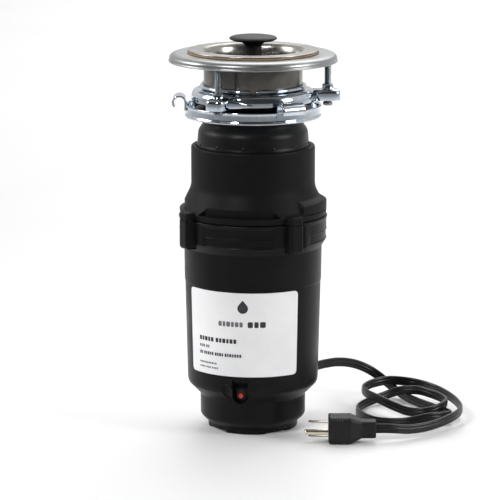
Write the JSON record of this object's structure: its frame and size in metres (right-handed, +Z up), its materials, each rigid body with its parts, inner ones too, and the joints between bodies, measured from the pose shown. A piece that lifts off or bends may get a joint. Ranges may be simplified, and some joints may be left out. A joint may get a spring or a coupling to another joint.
{
  "type": "kitchen garbage disposal",
  "caption": "Under-sink food waste disposer with stopper, sink flange, three-bolt mount, black hopper and motor shell, reset button, flat mains cord and plug.",
  "frame": {"origin": "middle of the foot on the shaft's axis, on the surface the disposal stands on", "axes": "+Z up along the shaft, -Y towards the label and reset button, +Y towards the drain outlet"},
  "size_m": [0.2576, 0.2065, 0.3517],
  "materials": {
    "black_shell": "satin moulded",
    "black_rubber": "matte",
    "stopper_black": "soft satin",
    "stainless": "brushed",
    "zinc": "satin zinc plate",
    "chrome": "bright zinc plate",
    "screw_steel": "bright zinc plate",
    "fibre": "pressed fibre",
    "motor_steel": "drawn",
    "copper": "enamelled",
    "ferrite": "sintered",
    "carbon": "matt",
    "blade_metal": "nickel-washed",
    "label_white": "printed vinyl",
    "button_red": "gloss",
    "switch_grey": "moulded"
  },
  "bodies": {
    "root": {"sink_flange": "stainless", "fibre_gasket": "fibre", "backup_flange": "zinc", "snap_ring": "screw_steel", "upper_mount_ring": "chrome", "rubber_mount": "black_rubber", "upper_housing": "black_shell", "inlet_plug": "black_shell", "housing_gasket": "black_rubber", "housing_screw_1": "screw_steel", "housing_screw_2": "screw_steel", "housing_screw_3": "screw_steel", "housing_screw_4": "screw_steel", "shredder_ring": "stainless", "drain_chamber": "black_shell", "lower_shell": "black_shell", "label": "label_white", "overload_switch": "switch_grey", "rectifier": "carbon", "strain_relief": "black_rubber", "upper_bearing": "motor_steel", "lower_bearing": "motor_steel", "shaft_seal": "black_rubber", "motor_can": "motor_steel", "end_bell": "zinc", "brush_plate": "carbon", "magnet_1": "ferrite", "magnet_2": "ferrite", "brush_1": "carbon", "brush_2": "carbon", "brush_spring_1": "motor_steel", "brush_spring_2": "motor_steel", "power_cord": "black_rubber", "plug_body": "black_rubber", "plug_blade_1": "blade_metal", "plug_blade_2": "blade_metal", "plug_ground_pin": "blade_metal"},
    "guard": {"splash_guard": "black_rubber"},
    "sink_stopper": {"stopper": "stopper_black", "stopper_seal": "black_rubber"},
    "rotor": {"shaft": "motor_steel", "armature_core": "motor_steel", "winding_top": "copper", "winding_bottom": "copper", "commutator": "copper", "turntable": "stainless", "turntable_nut": "screw_steel", "impeller_pin_1": "screw_steel", "impeller_pin_2": "screw_steel"},
    "hammer_1": {"impeller_1": "stainless"},
    "hammer_2": {"impeller_2": "stainless"},
    "lock_ring": {"lower_mount_ring": "chrome"},
    "screw_1": {"mount_screw_1": "screw_steel"},
    "screw_2": {"mount_screw_2": "screw_steel"},
    "screw_3": {"mount_screw_3": "screw_steel"},
    "reset": {"reset_button": "button_red"}
  },
  "joints": [
    {"name": "splash_guard_lift", "type": "slide", "parent": "root", "child": "guard", "axis": [0, 0, 1], "range_m": [0, 0.05]},
    {"name": "stopper_lift", "type": "slide", "parent": "guard", "child": "sink_stopper", "axis": [0, 0, 1], "range_m": [0, 0.05]},
    {"name": "rotor_spin", "type": "hinge", "parent": "root", "child": "rotor", "pos_m": [0, 0, 0.2], "axis": [0, 0, 1], "continuous": true},
    {"name": "impeller_1_swivel", "type": "hinge", "parent": "rotor", "child": "hammer_1", "pos_m": [0.028, 0, 0.2], "axis": [0, 0, 1], "continuous": true},
    {"name": "impeller_2_swivel", "type": "hinge", "parent": "rotor", "child": "hammer_2", "pos_m": [-0.028, 0, 0.2], "axis": [0, 0, 1], "continuous": true},
    {"name": "lock_ring_turn", "type": "hinge", "parent": "root", "child": "lock_ring", "pos_m": [0, 0, 0.283], "axis": [0, 0, 1], "range_deg": [0, 35]},
    {"name": "mount_screw_1_back_off", "type": "slide", "parent": "root", "child": "screw_1", "axis": [0, 0, -1], "range_m": [0, 0.008]},
    {"name": "mount_screw_2_back_off", "type": "slide", "parent": "root", "child": "screw_2", "axis": [0, 0, -1], "range_m": [0, 0.008]},
    {"name": "mount_screw_3_back_off", "type": "slide", "parent": "root", "child": "screw_3", "axis": [0, 0, -1], "range_m": [0, 0.008]},
    {"name": "reset_button_press", "type": "slide", "parent": "root", "child": "reset", "axis": [-0.0262, 0.9997, 0], "range_m": [0, 0.003], "stiffness_N_per_m": 300}
  ]
}
